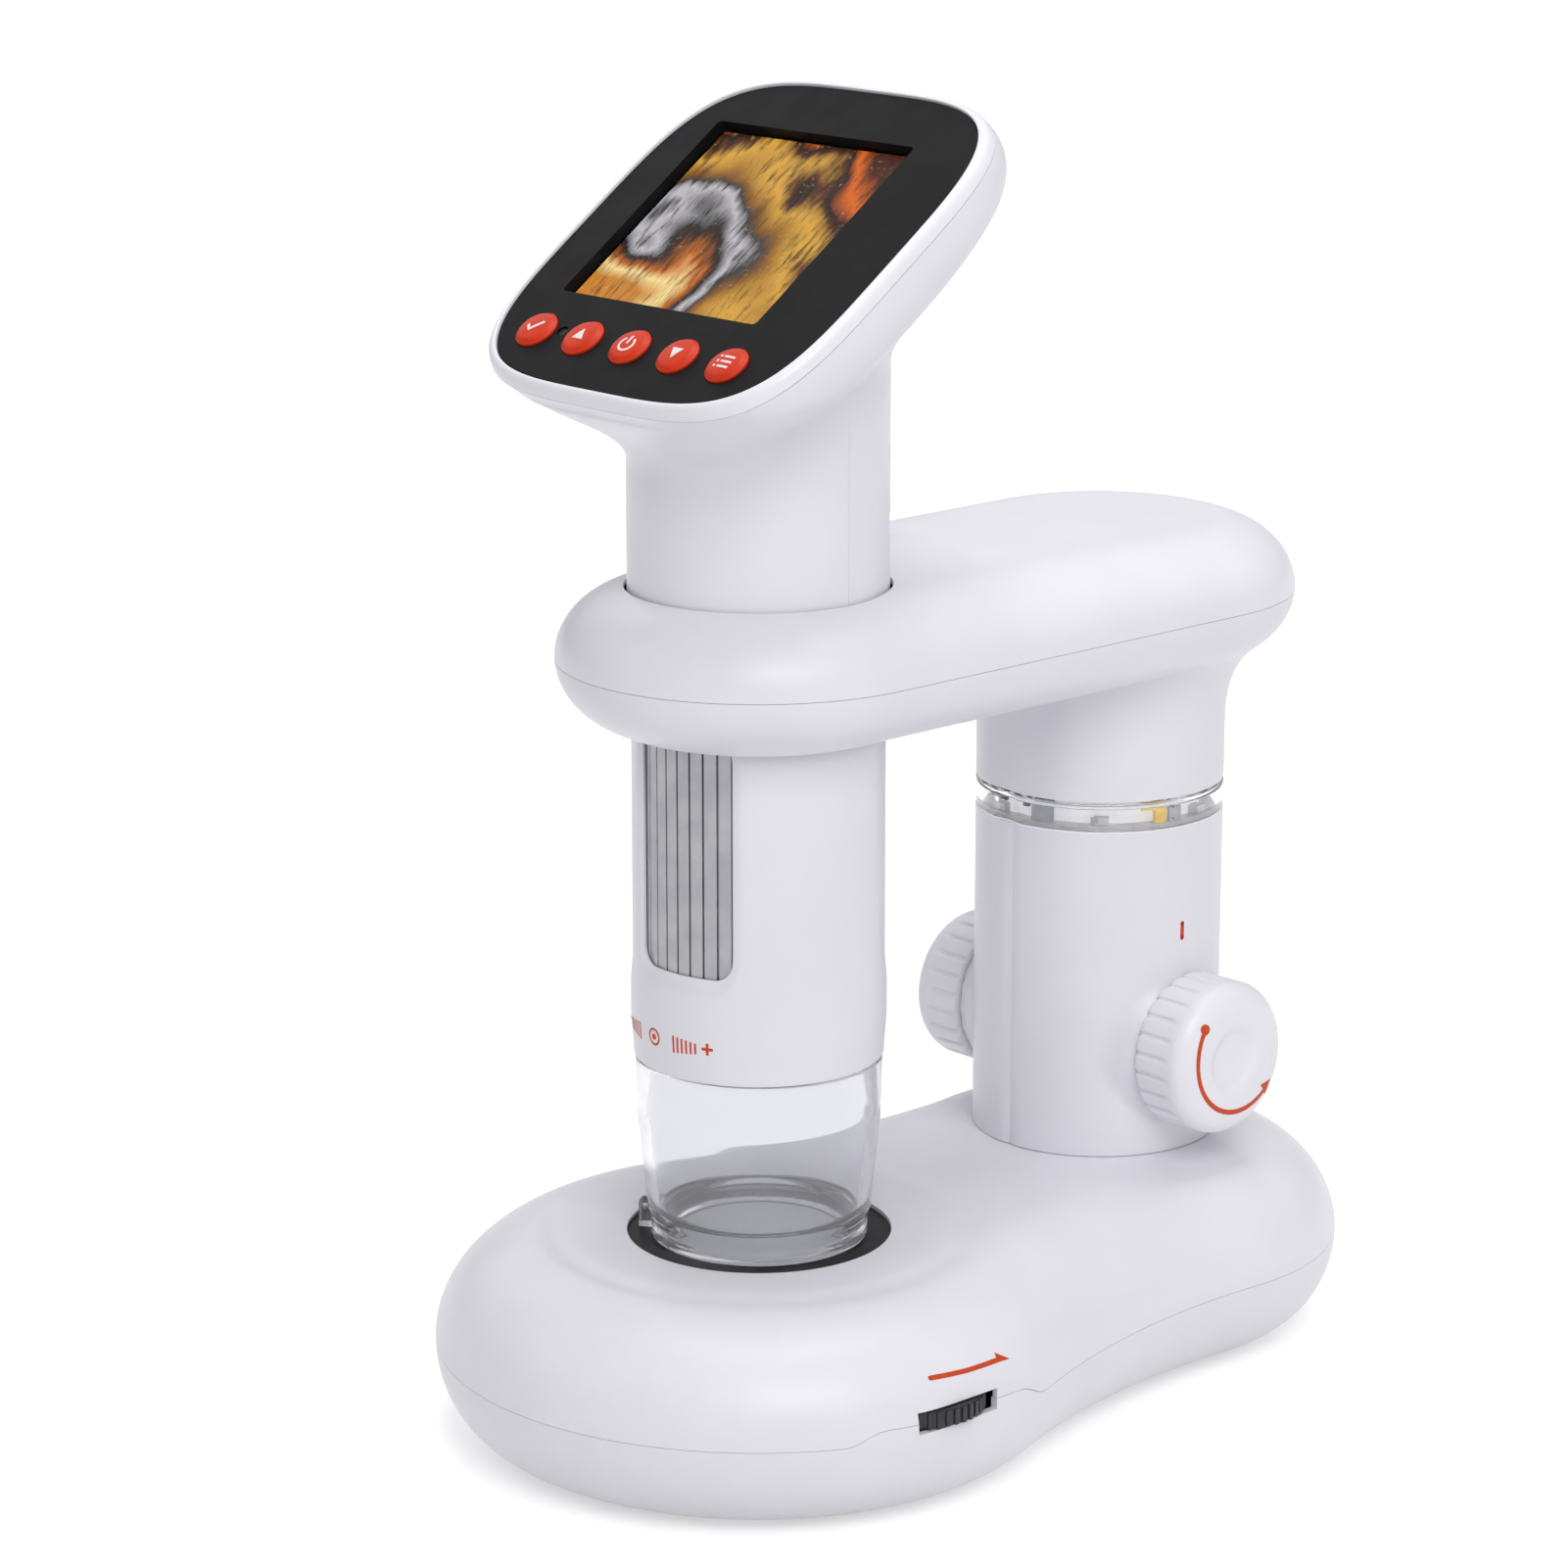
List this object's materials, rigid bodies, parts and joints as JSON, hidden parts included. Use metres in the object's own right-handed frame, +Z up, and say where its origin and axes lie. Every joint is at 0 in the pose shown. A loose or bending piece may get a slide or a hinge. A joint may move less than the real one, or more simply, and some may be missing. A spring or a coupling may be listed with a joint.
{
  "type": "lcd digital microscope",
  "caption": "Digital microscope with a tilted screen and keys on a round tube, held by an arm over a lit stage on a stand with a knob-driven column.",
  "frame": {"origin": "on the table under the middle of the object's box", "axes": "+Z up, the scope stands towards -Y with its screen facing -Y and up, the column stands towards +Y, +X is to the right of someone who looks at the screen"},
  "size_m": [0.087, 0.1426, 0.1787],
  "materials": {
    "white_shell": "satin moulded white with a faint violet tint",
    "soft_white": "satin, slightly greyer than the shells",
    "black_plastic": "smooth black",
    "dark_matte": "matt, dark",
    "clear_plastic": "clear moulded plastic, polished",
    "lens_glass": "polished, coated",
    "diffuser": "milky, translucent",
    "board": "green circuit board",
    "steel": "plain steel",
    "bronze": "sintered bush",
    "rubber": "soft, dark",
    "cell_jacket": null,
    "cell_pouch": "foil pouch",
    "silver_plastic": "metallised, ribbed",
    "display": "lit colour display",
    "orange_key": "orange-red, satin, with a pale symbol"
  },
  "bodies": {
    "stand": {"base_lower_shell": "white_shell", "base_upper_shell": "white_shell", "stage_plate": "dark_matte", "stage_diffuser": "diffuser", "stage_light_board": "board", "dimmer_pot": "steel", "battery_cells": "cell_jacket", "battery_contacts": "steel", "battery_door": "white_shell", "door_screw": "steel", "rubber_feet": "rubber", "base_screws": "steel", "column_shell_left": "white_shell", "column_shell_right": "white_shell", "column_screws": "steel", "post_guide": "soft_white", "light_ring": "clear_plastic", "ring_light_board": "board", "shaft_bushes": "bronze"},
    "dimmer": {"dimmer_wheel": "dark_matte"},
    "arm": {"slide_post": "soft_white", "lift_rack": "steel", "post_screws": "steel", "arm_lower_shell": "white_shell", "arm_upper_shell": "white_shell", "arm_screws": "steel"},
    "drive": {"knob_shaft": "steel", "pinion": "steel", "knob_left": "white_shell", "knob_right": "white_shell"},
    "grip": {"grip_ring": "dark_matte"},
    "scope": {"barrel_shell": "white_shell", "casing_front": "white_shell", "casing_rear": "white_shell", "casing_screws": "steel", "spacer_cup": "clear_plastic", "scope_lamp_board": "board", "guide_rods": "steel", "sensor_board": "board", "scope_battery": "cell_pouch", "screen_frame": "white_shell", "screen_panel": "black_plastic", "screen_pane": "clear_plastic", "lcd_module": "display", "main_board": "board", "board_screws": "steel", "key_switches": "steel", "usb_socket": "steel", "indicator_lens": "black_plastic"},
    "focus": {"focus_wheel": "silver_plastic"},
    "lens": {"lens_carrier": "dark_matte", "objective_lens": "lens_glass"},
    "key_select": {"button_select": "orange_key"},
    "key_up": {"button_up": "orange_key"},
    "key_power": {"button_power": "orange_key"},
    "key_down": {"button_down_key": "orange_key"},
    "key_menu": {"button_menu": "orange_key"}
  },
  "joints": [
    {"name": "arm_lift", "type": "slide", "parent": "stand", "child": "arm", "axis": [0, 0, 1], "range_m": [0, 0.022]},
    {"name": "height_knobs", "type": "hinge", "parent": "stand", "child": "drive", "pos_m": [0, 0.0367, 0.0437], "axis": [1, 0, 0], "range_deg": [0, 259]},
    {"name": "dimmer_turn", "type": "hinge", "parent": "stand", "child": "dimmer", "pos_m": [0.0345, -0.0318, 0.0154], "axis": [0, 0, 1], "range_deg": [0, 270]},
    {"name": "scope_turn", "type": "hinge", "parent": "arm", "child": "grip", "pos_m": [0, -0.0278, 0.0975], "axis": [0, 0, 1], "continuous": true},
    {"name": "scope_slide", "type": "slide", "parent": "grip", "child": "scope", "axis": [0, 0, 1], "range_m": [0, 0.09]},
    {"name": "focus_turn", "type": "hinge", "parent": "scope", "child": "focus", "pos_m": [0, -0.0278, 0.07995], "axis": [0, 0, 1], "range_deg": [-150, 150]},
    {"name": "lens_travel", "type": "slide", "parent": "scope", "child": "lens", "axis": [0, 0, 1], "range_m": [-0.004, 0.004]},
    {"name": "press_select", "type": "slide", "parent": "scope", "child": "key_select", "axis": [0, 0.5807, -0.8141], "range_m": [0, 0.0006], "stiffness_N_per_m": 400},
    {"name": "press_up", "type": "slide", "parent": "scope", "child": "key_up", "axis": [0, 0.5807, -0.8141], "range_m": [0, 0.0006], "stiffness_N_per_m": 400},
    {"name": "press_power", "type": "slide", "parent": "scope", "child": "key_power", "axis": [0, 0.5807, -0.8141], "range_m": [0, 0.0006], "stiffness_N_per_m": 400},
    {"name": "press_down", "type": "slide", "parent": "scope", "child": "key_down", "axis": [0, 0.5807, -0.8141], "range_m": [0, 0.0006], "stiffness_N_per_m": 400},
    {"name": "press_menu", "type": "slide", "parent": "scope", "child": "key_menu", "axis": [0, 0.5807, -0.8141], "range_m": [0, 0.0006], "stiffness_N_per_m": 400}
  ],
  "couplings": [
    {"joint": "height_knobs", "follows": "arm_lift", "rad_per_m": 204.08},
    {"joint": "lens_travel", "follows": "focus_turn", "m_per_rad": 0.0015278}
  ]
}
